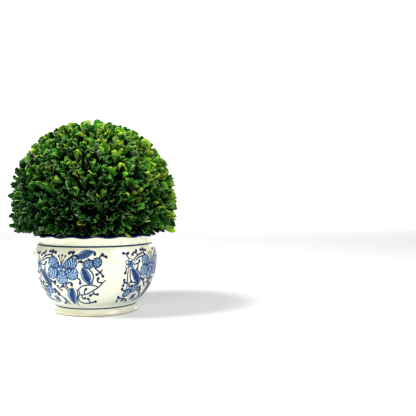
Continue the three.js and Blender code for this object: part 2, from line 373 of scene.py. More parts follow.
def pot_profile():
    foot = [
        (0, FOOT_RECESS),
        (FOOT_RADIUS - FOOT_RING_WIDTH - 2.25, FOOT_RECESS),
        (FOOT_RADIUS - FOOT_RING_WIDTH, 0),
        (FOOT_RADIUS - 1.0, 0),
        (FOOT_RADIUS - 0.3, 0.3),
        (FOOT_RADIUS, CLAY_EDGE),
        (FOOT_RADIUS - 0.6, 2.2),
        (FOOT_WAIST_RADIUS + 1.2, 4.6),
        (FOOT_WAIST_RADIUS + 0.4, 7.2),
        (FOOT_WAIST_RADIUS, 9.8),
        (FOOT_WAIST_RADIUS + 0.2, LOWER_LINE[0]),
        (FOOT_WAIST_RADIUS + 1.6, LOWER_LINE[1]),
    ]
    belly = [(belly_radius(z), z) for z in steps_between(BELLY_FOOT, UPPER_LINE[0], 34)]
    neck = [
        (NECK_RADIUS + 0.55, UPPER_LINE[1]),
        (NECK_RADIUS - 0.1, 122.4),
        (NECK_RADIUS + 0.1, 124.6),
        (NECK_RADIUS + 1.2, 127.3),
        (NECK_RADIUS + 2.9, 130),
        (LIP_RADIUS - 1.9, 132),
        (LIP_RADIUS - 1.35, 132.9),
        (LIP_RADIUS - 0.4, 133.6),
    ]
    roll = [
        (
            LIP_RADIUS - LIP_THICKNESS / 2 + LIP_THICKNESS / 2 * math.cos(a),
            LIP_HEIGHT - LIP_EDGE_DROP + LIP_EDGE_DROP * math.sin(a),
        )
        for a in steps_between(0, math.pi * 0.94, 9)
    ]
    inside = [(NECK_RADIUS - WALL + 1.5, NECK_HEIGHT + 3)]
    inside += [(belly_radius(z) - WALL, z) for z in steps_between(*INNER_WALL, 12)]
    inside += [(INNER_FLOOR_RADIUS, INNER_FLOOR), (0, INNER_FLOOR)]
    return foot + belly + neck + roll + inside


def scallop(bm):
    """Draws the lip out and down at each lobe, fading to nothing at the neck."""
    for vert in bm.verts:
        radius = math.hypot(vert.co.x, vert.co.y)
        share = min(1, max(0, (vert.co.z - NECK_HEIGHT) / (LIP_HEIGHT - LIP_EDGE_DROP - NECK_HEIGHT)))
        share = share * share * (3 - 2 * share)
        if share == 0 or radius == 0:
            continue
        lobe = share * math.cos(SCALLOPS * math.atan2(vert.co.y, vert.co.x))
        stretch = 1 + SCALLOP_REACH * lobe / radius
        vert.co.x *= stretch
        vert.co.y *= stretch
        vert.co.z -= SCALLOP_DIP * lobe


GLAZE, BAND, LINE, CLAY, FOOT = range(5)


def part_of_pot(face):
    """Which finish a face has, from its height and side, before the lip is scalloped."""
    centre = face.calc_center_median()
    radius = math.hypot(centre.x, centre.y)
    if centre.z < CLAY_EDGE and radius > FOOT_RADIUS - FOOT_RING_WIDTH - 3:
        return CLAY
    if centre.z > BAND_FLOOR and radius > LIP_RADIUS - LIP_THICKNESS:
        return BAND
    if UPPER_LINE[0] < centre.z < UPPER_LINE[1] and radius > NECK_RADIUS - 2:
        return LINE
    if LOWER_LINE[0] < centre.z < LOWER_LINE[1] and radius > FOOT_WAIST_RADIUS - 4:
        return LINE
    return FOOT if centre.z < LOWER_LINE[0] else GLAZE


def make_pot(paints):
    bm = spun(pot_profile(), POT_STEPS)
    for face in bm.faces:
        face.material_index = part_of_pot(face)
    scallop(bm)
    finishes = [glaze_finish(), paints["deep"], paints["line"], clay_finish(), foot_finish()]
    return piece_from(bm, "glazed_pot", finishes, "glaze", "pot")


# Painted flowers, drawn on a flat map: across in degrees round the pot, up in map units

MAP_UNIT = 1.8  # millimetres up the pot
PAINT_LIFT = 0.12
PAINT_DEPTH = 0.25
LATER_LIFT = 0.00002  # how much higher each face lies than the one before
MEDALLIONS = 4
OUTLINE = 0.9
STROKE_SWELL = 0.25  # how much wider a stroke is halfway along

PAINTED_STEMS = (
    ((18.8, 36.3), (15.9, 33.4), (11.9, 29.3), (7.8, 26.8), (3.5, 24.3), (-1.5, 22.6), (-6.5, 22.5)),
    ((-6.9, 26.8), (-2.6, 30.9), (4.0, 32.2), (8.7, 31.6), (12.3, 29.8)),
    ((-6.3, 27.8), (-5.6, 24.3), (-8.0, 18.8), (-6.7, 15.0), (-2.0, 13.6), (3.1, 13.5)),
    ((-7.5, 28.0), (-7.9, 22.5), (-10.0, 16.8), (-11.0, 10.6)),
    ((-20.4, 32.5), (-19.3, 29.6), (-16.6, 26.4)),
    ((-18.4, 32.9), (-17.2, 30.1), (-14.6, 28.0)),
    ((4.4, 47.0), (7.2, 43.4), (8.2, 39.0), (6.5, 33.0)),
    ((-45.1, 53.4), (-41.6, 56.4), (-37.4, 58.6), (-32.2, 59.2), (-28.4, 57.4)),
    ((-42.7, 52.9), (-38.6, 55.6), (-33.6, 56.6)),
    ((-50.4, 44.2), (-50.6, 39.3), (-50.2, 34.4), (-49.4, 29.4), (-49.1, 26.1)),
    ((-48.1, 44.4), (-48.2, 40.9), (-47.3, 36.6), (-45.4, 32.6)),
    ((-45.4, 32.4), (-41.4, 31.8), (-34.6, 29.5)),
    ((-40.0, 43.4), (-37.0, 40.6), (-34.8, 36.5), (-34.2, 31.0)),
    ((-33.0, 27.0), (-29.6, 22.6), (-25.2, 18.6), (-20.6, 14.6)),
    ((3.5, 56.7), (5.5, 54.5)),
)
PAINTED_CURLS = (
    ((-14.8, 54.2), (-12.1, 57.4), (-9.0, 58.9), (-6.6, 58.9)),
    ((-9.7, 59.2), (-10.4, 61.2), (-12.2, 62.4), (-13.4, 61.2)),
    ((-10.4, 60.6), (-9.4, 62.0)),
    ((7.7, 62.8), (9.5, 61.9), (9.3, 60.3)),
    ((-4.6, 52.4), (-4.0, 53.9), (-2.0, 53.6)),
    ((12.7, 56.6), (14.2, 58.3), (16.0, 60.0)),
    ((15.0, 58.8), (17.0, 58.7), (19.1, 57.7)),
    ((9.2, 48.0), (11.5, 45.8), (14.5, 43.2), (16.3, 40.1)),
    ((15.8, 46.7), (14.0, 43.8), (11.0, 41.8)),
    ((16.6, 34.0), (13.9, 34.2), (11.5, 36.1), (12.3, 38.2)),
    ((-6.9, 39.4), (-4.8, 38.1), (-3.6, 36.4), (-3.8, 33.9)),
    ((-17.9, 30.2), (-16.7, 32.9), (-13.8, 34.3), (-11.4, 33.7), (-12.0, 32.0)),
    ((-0.7, 23.6), (-0.6, 26.1), (1.1, 28.2)),
    ((-3.1, 22.9), (-3.9, 20.7), (-3.0, 18.9), (-1.1, 18.9)),
    ((8.1, 25.9), (8.1, 24.3), (10.1, 22.6), (11.8, 22.8)),
    ((8.6, 23.4), (6.8, 22.9), (4.6, 21.8)),
    ((3.5, 14.5), (3.2, 17.0), (2.1, 18.3)),
    ((-2.0, 13.6), (3.2, 13.8), (9.8, 15.3)),
    ((-22.3, 26.8), (-24.4, 26.6), (-26.3, 28.7), (-27.3, 30.2)),
    ((-24.4, 29.0), (-22.8, 29.8), (-21.6, 30.5)),
    ((-32.1, 28.1), (-30.5, 25.9), (-28.7, 22.8)),
    ((-31.6, 25.2), (-33.7, 23.7)),
    ((-33.0, 35.7), (-31.5, 34.2), (-28.9, 34.7)),
    ((-20.5, 11.9), (-23.1, 13.8), (-24.5, 15.6), (-24.4, 17.8)),
    ((-24.8, 14.4), (-28.4, 12.7)),
    ((-49.5, 54.8), (-51.2, 57.4), (-52.0, 59.5), (-54.9, 60.2)),
    ((-51.8, 59.2), (-50.0, 60.2)),
    ((-39.7, 57.6), (-41.5, 59.8), (-44.0, 60.3), (-45.5, 58.6)),
    ((-41.7, 59.5), (-41.6, 60.7), (-40.5, 61.8)),
    ((-31.9, 59.0), (-31.3, 60.4), (-31.0, 62.9)),
    ((-31.1, 60.8), (-32.4, 62.3), (-34.5, 62.2)),
    ((-31.1, 60.8), (-29.2, 61.9), (-27.6, 61.5)),
    ((-43.0, 49.2), (-40.8, 50.0), (-38.6, 50.5), (-38.1, 52.2)),
    ((-40.4, 49.8), (-39.6, 47.6), (-40.6, 44.8)),
    ((-52.2, 46.9), (-52.6, 44.3), (-53.3, 41.9)),
    ((-49.2, 31.6), (-51.1, 32.5), (-53.3, 33.5), (-53.6, 35.3)),
    ((-51.6, 32.6), (-53.4, 31.9), (-53.7, 29.9)),
    ((-49.0, 26.1), (-50.6, 24.8), (-52.9, 25.2), (-54.2, 26.8)),
    ((-47.1, 26.0), (-46.4, 28.1), (-48.0, 31.1), (-45.7, 33.2)),
    ((-47.0, 29.1), (-45.2, 28.3), (-44.0, 28.8)),
    ((-46.1, 16.0), (-50.0, 16.7), (-52.7, 16.9), (-55.9, 18.6)),
    ((-54.7, 17.3), (-55.3, 16.0), (-55.8, 14.2)),
    ((-45.7, 15.9), (-46.5, 14.9), (-49.2, 14.3)),
    ((-45.9, 15.7), (-43.8, 14.8), (-42.3, 13.1)),
    ((-36.2, 26.6), (-33.5, 26.3), (-32.0, 26.8)),
    ((-31.9, 26.6), (-30.1, 24.0), (-30.2, 21.5)),
    ((-34.2, 36.4), (-32.3, 34.2), (-29.9, 32.7)),
)


def turned(angle, across, up):
    return Matrix.Translation((across, up, 0)) @ Matrix.Rotation(math.radians(angle), 4, "Z")


def inner_ring(bm, loop):
    """Grows a loop of edges by one ring, and gives the new ring's points and edges."""
    grown = bmesh.ops.extrude_edge_only(bm, edges=loop)["geom"]
    verts = [part for part in grown if isinstance(part, bmesh.types.BMVert)]
    inside = set(verts)
    edges = [part for part in grown if isinstance(part, bmesh.types.BMEdge) and set(part.verts) <= inside]
    return verts, edges


def outline_ring(bm, outline, segments):
    """The loop of an outline, a function from an angle to a point, a little above what was drawn before."""
    above = len(bm.faces) * LATER_LIFT
    verts = bmesh.ops.create_circle(bm, cap_ends=False, radius=1, segments=segments)["verts"]
    for vert in verts:
        vert.co = Vector((*outline(math.atan2(vert.co.y, vert.co.x)), above))
    return list(verts), list({edge for vert in verts for edge in vert.link_edges})


def filled(bm, outline, place, segments=16, rings=2):
    """A patch inside an outline, in rings that can follow the pot."""
    every, loop = outline_ring(bm, outline, segments)
    for ring in range(rings):
        verts, loop = inner_ring(bm, loop)
        middle = sum((vert.co for vert in verts), Vector()) / len(verts)
        for vert in verts:
            vert.co = middle + (vert.co - middle) * (rings - ring) / (rings - ring + 1)
        every += verts
    bmesh.ops.contextual_create(bm, geom=loop)
    bmesh.ops.transform(bm, matrix=place, verts=every)


def outlined(bm, outline, place, width=OUTLINE, segments=20):
    """A brushed line of a width along the inside of an outline."""
    every, loop = outline_ring(bm, outline, segments)
    verts, _ = inner_ring(bm, loop)
    for vert in verts:
        flat = Vector((vert.co.x, vert.co.y, 0))
        vert.co -= flat.normalized() * min(width, flat.length * 0.8)
    bmesh.ops.transform(bm, matrix=place, verts=every + verts)


def curve_point(p, q, r, s, t):
    """One coordinate a share t of the way from q to r, on a smooth curve through p, q, r and s."""
    bend = 2 * p - 5 * q + 4 * r - s
    twist = 3 * q - p - 3 * r + s
    return 0.5 * (2 * q + (r - p) * t + bend * t ** 2 + twist * t ** 3)


def along_curve(points, spans):
    """A smooth run of points through a few, as (x, y)."""
    ends = [points[0]] + list(points) + [points[-1]]
    run = []
    for corners in zip(ends, ends[1:], ends[2:], ends[3:]):
        for i in range(spans):
            run.append(tuple(curve_point(*places, i / spans) for places in zip(*corners)))
    return run + [tuple(points[-1])]


def brushed(bm, points, start, end, knob=0, spans=4):
    """A brush stroke from one width to another, with a round end of the radius that knob gives."""
    above = len(bm.faces) * LATER_LIFT
    run = [Vector((*point, above)) for point in along_curve(points, spans)]
    last = len(run) - 1
    rows = []
    for i, point in enumerate(run):
        along = (run[min(i + 1, last)] - run[max(i - 1, 0)]).normalized()
        share = i / last
        half = (start + (end - start) * share) * (1 + STROKE_SWELL * math.sin(math.pi * share)) / 2
        side = Vector((-along.y, along.x, 0)) * half
        rows.append((point - side, point + side))
    edges = [bm.edges.new([bm.verts.new(corner) for corner in rows[0]])]
    for before, after in zip(rows, rows[1:]):
        verts, edges = inner_ring(bm, edges)
        for vert in verts:
            near = (vert.co - before[0]).length < (vert.co - before[1]).length
            vert.co = after[0] if near else after[1]
    if knob:
        place = Matrix.Translation(run[-1] + Vector((0, 0, 0.01)))
        bmesh.ops.create_circle(bm, cap_ends=True, radius=knob, segments=9, matrix=place)


def rounded(length, width, swell=0.2):
    """A petal, fuller towards its outer end, which points along +X."""
    return lambda a: (length / 2 * math.cos(a), width / 2 * math.sin(a) * (1 + swell * math.cos(a)))


def pointed(length, width, bend=0.0):
    """A leaf, pointed at both ends, with its midrib bent to one side."""
    def outline(a):
        across, up = math.cos(a), math.sin(a)
        return length / 2 * across, width / 2 * up * abs(up) ** 0.4 + bend * (1 - across * across)
    return outline


def dotted(bm, place, length, width, count, size):
    """Dots spread over an oval patch."""
    for i in range(count):
        away = math.sqrt((i + 0.5) / count) * 0.44
        turn = i * GOLDEN_ANGLE
        spot = place @ Vector((away * length * math.cos(turn), away * width * math.sin(turn), 0))
        bmesh.ops.create_circle(bm, cap_ends=True, radius=size, segments=5, matrix=Matrix.Translation(spot))


class Paint:
    """The three strengths of cobalt, each a flat sheet until it is wrapped round the pot."""

    def __init__(self):
        self.wash = bmesh.new()
        self.mid = bmesh.new()
        self.deep = bmesh.new()


def big_flower(paint):
    centre = Vector((-20.6, 47.0))
    for across, up, length, width in (
        (-28.6, 52.0, 13.6, 10.6), (-12.2, 51.4, 13.8, 10.6), (-11.4, 43.0, 13.4, 11.8),
        (-20.9, 39.3, 13.8, 11.8), (-29.8, 43.4, 13.2, 11.8),
    ):
        away = Vector((across, up)) - centre
        place = turned(math.degrees(math.atan2(away.y, away.x)), across, up)
        filled(paint.wash, rounded(length, width), place)
        outlined(paint.deep, rounded(length, width), place, OUTLINE * 0.9)
        dotted(paint.mid, place, length, width, 24, 0.86)
        inner = place @ Matrix.Translation((-length * 0.18, 0, 0))
        dotted(paint.mid, inner, length * 0.6, width * 0.8, 8, 0.9)
        dotted(paint.deep, place, length * 0.8, width * 0.8, 13, 0.56)
    filled(paint.mid, rounded(6.4, 4.4, 0), turned(0, -20.6, 48.6), 12, 1)
    for across in (-22.3, -19.0):
        filled(paint.wash, rounded(1.8, 2.2, 0), turned(0, across, 45.6), 8, 1)
    for across, up in ((-23.4, 58.4), (-20.0, 59.2), (-16.8, 58.6)):
        brushed(paint.deep, [(-20.2, 50.0), ((across - 20) / 2, 54.6), (across, up)], 0.6, 0.6, 1.0, 3)


def shaded_leaf(paint, centre, angle, length, width, bend=0.0, heart=0.68):
    """A leaf with a light edge, a dark heart and a dark outline."""
    place = turned(angle, *centre)
    filled(paint.wash, pointed(length, width, bend), place, 18)
    dotted(paint.mid, place, length * 0.8, width * 0.86, 26, 0.8)
    outlined(paint.mid, pointed(length, width, bend), place, OUTLINE * 1.1, 22)
    filled(paint.deep, pointed(length * 0.92, width * heart, bend * 0.9), place, 16, 3)


def ringed_flower(paint, centre, size, tilt=1.0):
    """A small open flower, bare petals outlined, with a ringed dark heart."""
    for i in range(6):
        angle = 90 + 60 * i
        spot = (
            centre[0] + size * 0.6 * math.cos(math.radians(angle)),
            centre[1] + size * 0.6 * tilt * math.sin(math.radians(angle)),
        )
        outlined(paint.mid, rounded(size * 0.8, size * 0.74 * tilt), turned(angle, *spot), OUTLINE * 0.8, 14)
    filled(paint.wash, rounded(size * 0.9, size * 0.9 * tilt, 0), turned(0, *centre), 12, 1)
    outlined(paint.deep, rounded(size * 1.15, size * 1.15 * tilt, 0), turned(0, *centre), OUTLINE * 0.7, 14)
    filled(paint.deep, rounded(size * 0.42, size * 0.42 * tilt, 0), turned(0, *centre), 10, 1)


def bud(paint, lobes):
    """Mottled lobes that overlap, the last one on top."""
    for across, up, angle, length, width in lobes:
        place = turned(angle, across, up)
        filled(paint.wash, rounded(length, width, 0.1), place)
        outlined(paint.deep, rounded(length, width, 0.1), place)
        dotted(paint.mid, place, length, width, 18, 0.82)
        dotted(paint.deep, place, length, width, 8, 0.45)


def medallion():
    """One spray of flowers, leaves and curls, about 75 degrees wide."""
    paint = Paint()
    big_flower(paint)
    shaded_leaf(paint, (0.6, 59.4), 24, 16.4, 7.4, 0.8, 0.58)
    shaded_leaf(paint, (2.0, 40.6), -68, 17.6, 8.2, -0.4, 0.54)
    shaded_leaf(paint, (-13.2, 20.8), -101, 17.8, 9.4, -1.3, 0.6)
    shaded_leaf(paint, (-41.0, 37.6), -54, 20.6, 7.2, 0.3, 0.66)
    bud(paint, ((11.3, 52.6, 75, 10.0, 8.6), (3.9, 51.5, 8, 10.0, 8.8)))
    bud(paint, ((-47.2, 21.9, 28, 10.4, 7.6), (-40.0, 25.9, 28, 10.4, 8.2)))
    ringed_flower(paint, (-48.3, 49.9), 5.6)
    ringed_flower(paint, (-35.6, 16.9), 4.4, 0.8)
    for points in PAINTED_STEMS:
        brushed(paint.deep, points, 0.95, 0.95)
    for points in PAINTED_CURLS:
        brushed(paint.deep, points, 0.9, 1.3, 1.4)
    return paint


def wrap(bm, lift):
    """Lays a flat map on the pot, four times round, and gives it a little depth into the glaze."""
    flat = bm.verts[:] + bm.edges[:] + bm.faces[:]
    for turn in range(1, MEDALLIONS):
        copied = bmesh.ops.duplicate(bm, geom=flat)["geom"]
        verts = [part for part in copied if isinstance(part, bmesh.types.BMVert)]
        bmesh.ops.translate(bm, vec=(turn * 360 / MEDALLIONS, 0, 0), verts=verts)
    for face in bm.faces:
        face.normal_update()
        if face.normal.z < 0:
            face.normal_flip()
    for vert in bm.verts:
        turn = math.radians(vert.co.x)
        height = vert.co.y * MAP_UNIT
        radius = belly_radius(height) + lift + vert.co.z
        vert.co = (radius * math.sin(turn), -radius * math.cos(turn), height)
    bmesh.ops.solidify(bm, geom=bm.faces[:], thickness=PAINT_DEPTH)
    bmesh.ops.recalc_face_normals(bm, faces=bm.faces)


def make_painting(paints):
    paint = medallion()
    for name, bm, layer in (
        ("wash", paint.wash, 1),
        ("mid", paint.mid, 1.6),
        ("deep", paint.deep, 2.2),
    ):
        wrap(bm, PAINT_LIFT * layer)
        piece_from(bm, "painted_" + name, [paints[name]], "glaze")


# Growth

DRAW_FACTOR = 1664525
DRAW_STEP = 1013904223
DRAW_RANGE = 2 ** 32


def seeded_draws(seed):
    """The same draws for a seed on any machine, each from 0 to 1."""
    state = seed
    while True:
        state = (state * DRAW_FACTOR + DRAW_STEP) % DRAW_RANGE
        yield state / DRAW_RANGE


def scattered(draw, spread):
    """A random step, up to half the spread either way along each axis."""
    return Vector((next(draw) - 0.5, next(draw) - 0.5, next(draw) - 0.5)) * spread


def crown_radius(height):
    rise = height - CROWN_CENTRE.z
    if rise > CROWN_RADIUS:
        return 0
    if rise > 0:
        return CROWN_RADIUS * (1 - (rise / CROWN_RADIUS) ** CROWN_SQUARENESS) ** (1 / CROWN_SQUARENESS)
    share = rise / (CROWN_CENTRE.z - CROWN_FLOOR)
    return CROWN_RADIUS - CROWN_UNDERCUT * share * share


def floor_under(point):
    """The lowest a leaf may reach: clear of the pot's lip, or the skirt, which sags on one side."""
    if math.hypot(point.x, point.y) < RIM_CLEARANCE_RADIUS:
        return RIM_CLEARANCE_HEIGHT
    return CROWN_FLOOR - SKIRT_SAG * max(0, point.x / CROWN_RADIUS) ** 2


def in_crown(point):
    from_crown_axis = math.hypot(point.x - CROWN_CENTRE.x, point.y - CROWN_CENTRE.y)
    return point.z >= floor_under(point) and from_crown_axis < crown_radius(point.z)


def reach_along(direction):
    """How far out the clipped outline lies from the crown's centre in a direction."""
    inside, outside = 0, CROWN_RADIUS * 1.3
    for _ in range(OUTLINE_SEARCHES):
        middle = (inside + outside) / 2
        if in_crown(CROWN_CENTRE + direction * middle):
            inside = middle
        else:
            outside = middle
    return inside


def crown_directions(count, lowest=LOWEST_RISE):
    """Directions evenly spread from straight up to the lowest, on a golden spiral."""
    for i in range(count):
        rise = 1 - (i + 0.5) / count * (1 - lowest)
        spread = math.sqrt(1 - rise * rise)
        turn = i * GOLDEN_ANGLE
        yield Vector((spread * math.cos(turn), spread * math.sin(turn), rise))


def fork_for(direction):
    """Where on the crown's stem a bough starts."""
    return Vector((0, 0, LOWEST_FORK + FORK_CLIMB * max(0, direction.z)))


def basis_at(place, across, along, facing, size=1.0):
    """A matrix that takes +X, +Y and +Z to three directions, scaled, at a place."""
    turn = Matrix((across * size, along * size, facing * size)).transposed().to_4x4()
    return Matrix.Translation(place) @ turn


class Shape:
    """A small mesh that is copied many times, each time under another matrix."""

    def __init__(self, bm, name):
        self.mesh = bpy.data.meshes.new(name)
        bm.to_mesh(self.mesh)
        bm.free()
        self.rest = [0.0] * (3 * len(self.mesh.vertices))
        self.mesh.vertices.foreach_get("co", self.rest)

    def add_to(self, bm, matrix):
        self.mesh.transform(matrix)
        bm.from_mesh(self.mesh)
        self.mesh.vertices.foreach_set("co", self.rest)


# Each row of a leaf from its stalk to its tip, as (share of its length, half width)
LEAF_ROWS = ((0, 0.06), (0.2, 0.25), (0.5, 0.45), (0.76, 0.5), (0.93, 0.38), (1, 0.17))
INNER_LEAF_ROWS = ((0, 0.06), (0.6, 0.47), (1, 0.24))


def make_leaf(cup, arch, rows=LEAF_ROWS):
    """One box leaf along +Y, its upper face up. cup raises its edges, arch drops its tip."""
    last = len(rows) - 1
    bm = bmesh.new()
    bmesh.ops.create_grid(bm, x_segments=2, y_segments=last, size=0.5)
    for vert in bm.verts:
        column, row = round(vert.co.x * 2), round((vert.co.y + 0.5) * last)
        along, half = rows[row]
        notch = TIP_NOTCH if row == last and column == 0 else 0
        raised = cup * half * half * 4 if column else 0
        vert.co = (
            column * half * LEAF_WIDTH,
            (along - notch) * LEAF_LENGTH,
            (raised - arch * along * along) * LEAF_LENGTH,
        )
    bmesh.ops.recalc_face_normals(bm, faces=bm.faces)
    for face in bm.faces:
        if face.normal.z < 0:
            face.normal_flip()
    bmesh.ops.solidify(bm, geom=bm.faces[:], thickness=LEAF_THICKNESS)
    bmesh.ops.recalc_face_normals(bm, faces=bm.faces)
    for face in bm.faces:
        rim = abs(face.normal.z) < RIM_SLOPE
        face.material_index = 2 if rim else (0 if face.normal.z > 0 else 1)
        face.smooth = not rim
    return Shape(bm, "leaf_shape")


def make_rod(sides):
    """A rod along +Y, one unit long and one unit in radius at its root, thinner at its tip."""
    bm = bmesh.new()
    bmesh.ops.create_cone(
        bm, cap_ends=True, cap_tris=False, segments=sides, radius1=1, radius2=ROD_TAPER, depth=1,
        matrix=Matrix.Translation((0, 0.5, 0)) @ Matrix.Rotation(-math.pi / 2, 4, "X"),
    )
    return Shape(bm, "rod_shape")


def add_rod(bm, rod, start, end, radius):
    along = end - start
    facing = along.normalized().cross(ROD_GUIDE).normalized()
    across = along.normalized().cross(facing)
    rod.add_to(bm, basis_at(start, across * radius, along, facing * radius))


TINTS = {
    # name: (share, pull towards the top and upper right where light is painted in, colour of upper face,
    # underside and edge)
    # The pale edge colours are partly the leaves' pale margins and partly painted highlight on the rims.
    "deep": (0.24, -1.4, (0.004, 0.043, 0.003), (0.014, 0.062, 0.009), (0.1, 0.2, 0.07)),
    "dark": (0.23, -0.7, (0.013, 0.106, 0.006), (0.032, 0.118, 0.016), (0.2, 0.35, 0.13)),
    "mid": (0.2, 0.2, (0.042, 0.22, 0.009), (0.06, 0.185, 0.024), (0.3, 0.48, 0.18)),
    "fresh": (0.135, 1.0, (0.1, 0.37, 0.014), (0.13, 0.3, 0.03), (0.42, 0.6, 0.2)),
    "lime": (0.078, 1.15, (0.30, 0.55, 0.018), (0.3, 0.5, 0.05), (0.52, 0.68, 0.14)),
    "olive": (0.07, 0.5, (0.22, 0.3, 0.010), (0.2, 0.26, 0.03), (0.4, 0.46, 0.12)),
    "grey": (0.06, 0.1, (0.09, 0.16, 0.06), (0.13, 0.2, 0.1), (0.3, 0.4, 0.22)),
    # The inner tint is painted shade deep in the crown, not the leaves' own colour.
    "inner": (0, 0, (0.001, 0.010, 0.001), (0.002, 0.010, 0.002), (0.008, 0.02, 0.005)),
}
# How strongly painted light brightens the leaves on the right, and painted shade darkens those low in front.
PAINTED_LIGHT_SIDE = 0.85
PAINTED_SHADE_FRONT = 1.05


def tint_for(direction, draw):
    """Paints light and shade into the leaves: brighter tints gather at the top and upper right where light
    falls, deep ones low in front where shade falls.
    """
    shade_low_in_front = max(0, -direction.y) * (1 - direction.z)
    # Painted light and shade: brighter where the light falls, darker low in front.
    painted_light = direction.z + PAINTED_LIGHT_SIDE * direction.x - PAINTED_SHADE_FRONT * shade_low_in_front
    weights = {name: tint[0] * math.exp(tint[1] * painted_light) for name, tint in TINTS.items()}
    pick = next(draw) * sum(weights.values())
    for name, weight in weights.items():
        pick -= weight
        if pick <= 0:
            return name
    return "dark"


def fits(root, along, across, size):
    """Whether a leaf stays in the clipped outline, which only its very tip may stand out of."""
    length, width = LEAF_LENGTH * size, LEAF_WIDTH * size
    tip = root + along * length
    shoulder = root + along * length * LEAF_SHOULDER
    if tip.z < floor_under(tip) or not in_crown(tip - along * TIP_PLAY):
        return False
    return in_crown(shoulder + across * width / 2) and in_crown(shoulder - across * width / 2)


def turned_to_light(leafward, upper):
    """A leaf's upper face, twisted on its stalk part of the way to the sky."""
    sky = UP - leafward * UP.dot(leafward)
    if sky.length < 0.01:
        return upper
    angle = math.atan2(upper.cross(sky).dot(leafward), upper.dot(sky))
    strength = LIGHT_TWIST * min(1, 1.6 * sky.length)
    return Matrix.Rotation(angle * strength, 3, leafward) @ upper


def grow_boughs(draw):
    """The wood, and each bough as (direction, fork, tip, how far its sprigs are set back)."""
    wood, rod = bmesh.new(), make_rod(7)
    boughs = []
    for direction in crown_directions(BOUGHS):
        tip = CROWN_CENTRE + direction * (reach_along(direction) - BOUGH_TIP_DEPTH)
        fork = fork_for(direction)
        boughs.append((direction, fork, tip, BOUGH_SET_BACK * next(draw)))
        add_rod(wood, rod, fork, tip, BOUGH_RADIUS)
    return wood, boughs


class Sprig:
    """A sprig of the nearest bough: where it starts and ends, how it heads, its tint and its size."""

    def __init__(self, direction, boughs, draw):
        aim = (direction + scattered(draw, AIM_SCATTER)).normalized()
        _, fork, bough_tip, set_back = max(boughs, key=lambda bough: bough[0].dot(aim))
        depth = SPRIG_TIP_DEPTH + set_back + SPRIG_TIP_SCATTER * next(draw) ** SPRIG_TIP_BUNCHING
        self.tip = CROWN_CENTRE + aim * (reach_along(aim) - depth)
        along_bough = (bough_tip - fork).normalized()
        self.root = bough_tip - along_bough * (SPRIG_FORK_DEPTH - BOUGH_TIP_DEPTH) * (0.5 + next(draw))
        lean = scattered(draw, LEAN_SCATTER)
        lit = max(0, min(1, 2 * aim.z + LIGHT_REACH))
        self.heading = (aim + UP * LIGHT_SEEKING * lit * (1 - aim.z) + lean).normalized()
        self.crossways = self.heading.cross(UP).normalized()
        self.tint = tint_for(direction, draw)
        self.scale = SMALLEST_SPRIG + SPRIG_SPAN * next(draw)
        self.turn = next(draw) * math.pi

    def node(self, pair):
        """The place of a pair of leaves, counted back from the tip."""
        return self.tip - self.heading * NODE_SPACING * self.scale * pair


def add_twig(bm, rod, sprig):
    """A twig from the bough to below the last pair of leaves, then on through them all."""
    knee = sprig.node(PAIRS - 0.5)
    add_rod(bm, rod, sprig.root, knee, TWIG_RADIUS)
    add_rod(bm, rod, knee - sprig.heading, sprig.tip + sprig.heading, TWIG_END_RADIUS)


def leaf_size(sprig, pair, draw):
    """The tip's leaves are the smallest, and a few leaves are large."""
    size = sprig.scale * (YOUNGEST_LEAF + OLDER_LEAF_STEP * min(pair, 2) + LEAF_SPAN * next(draw))
    return size * (LARGE_LEAF if next(draw) < LARGE_LEAVES else 1)


def leaf_on(sprig, pair, half, opening, draw):
    """One leaf of a pair, as its matrix and its kind. The matrix is None where no leaf fits."""
    heading, node = sprig.heading, sprig.node(pair)
    spin = sprig.turn + half + pair * math.pi / 2 + SPIN_SCATTER * (next(draw) - 0.5)
    side = Matrix.Rotation(spin, 3, heading) @ sprig.crossways
    opened = opening + OPENING_SCATTER * (next(draw) - 0.5)
    stray = scattered(draw, LEAF_STRAY)
    leafward = (heading * math.cos(opened) + side * math.sin(opened) + stray).normalized()
    upper = (heading * math.sin(opened) - side * math.cos(opened)).cross(leafward)
    upper = turned_to_light(leafward, leafward.cross(upper).normalized())
    across = leafward.cross(upper)
    size = leaf_size(sprig, pair, draw)
    breadth = BREADTH_LOW + BREADTH_SPAN * next(draw)
    kind = int(next(draw) * len(LEAF_FORMS))
    while size > SMALLEST_FIT and not fits(node, leafward, across, size):
        size -= SHRINK_STEP
    if size <= SMALLEST_FIT:
        return None, kind
    return basis_at(node, across * breadth, leafward, upper, size), kind


def grow():
    """Boughs by the source's rule, then sprigs on the nearest bough, with crossed pairs of leaves."""
    draw = seeded_draws(SEED)
    wood, boughs = grow_boughs(draw)
    twigs, rod = bmesh.new(), make_rod(4)
    leaves = {name: bmesh.new() for name in TINTS}
    shapes = [make_leaf(cup, arch) for cup, arch in LEAF_FORMS]
    inner_shape = make_leaf(*INNER_LEAF_FORM, INNER_LEAF_ROWS)
    for direction in crown_directions(SPRIGS, LOWEST_RISE - SPRIG_DROP):
        sprig = Sprig(direction, boughs, draw)
        add_twig(twigs, rod, sprig)
        for pair in range(PAIRS):
            opening = FIRST_OPENING + OPENING_STEP * pair + OPENING_SCATTER * (next(draw) - 0.5)
            for half in (0, math.pi):
                place, kind = leaf_on(sprig, pair, half, opening, draw)
                if place is None:
                    continue
                # Leaves deeper in a sprig take the near-black inner tint, painted shade inside the crown.
                if pair >= BRIGHT_PAIRS:
                    inner_shape.add_to(leaves["inner"], place)
                    continue
                tint = sprig.tint if next(draw) < SAME_TINT else tint_for(direction, draw)
                shapes[kind].add_to(leaves[tint], place)
    return wood, twigs, leaves


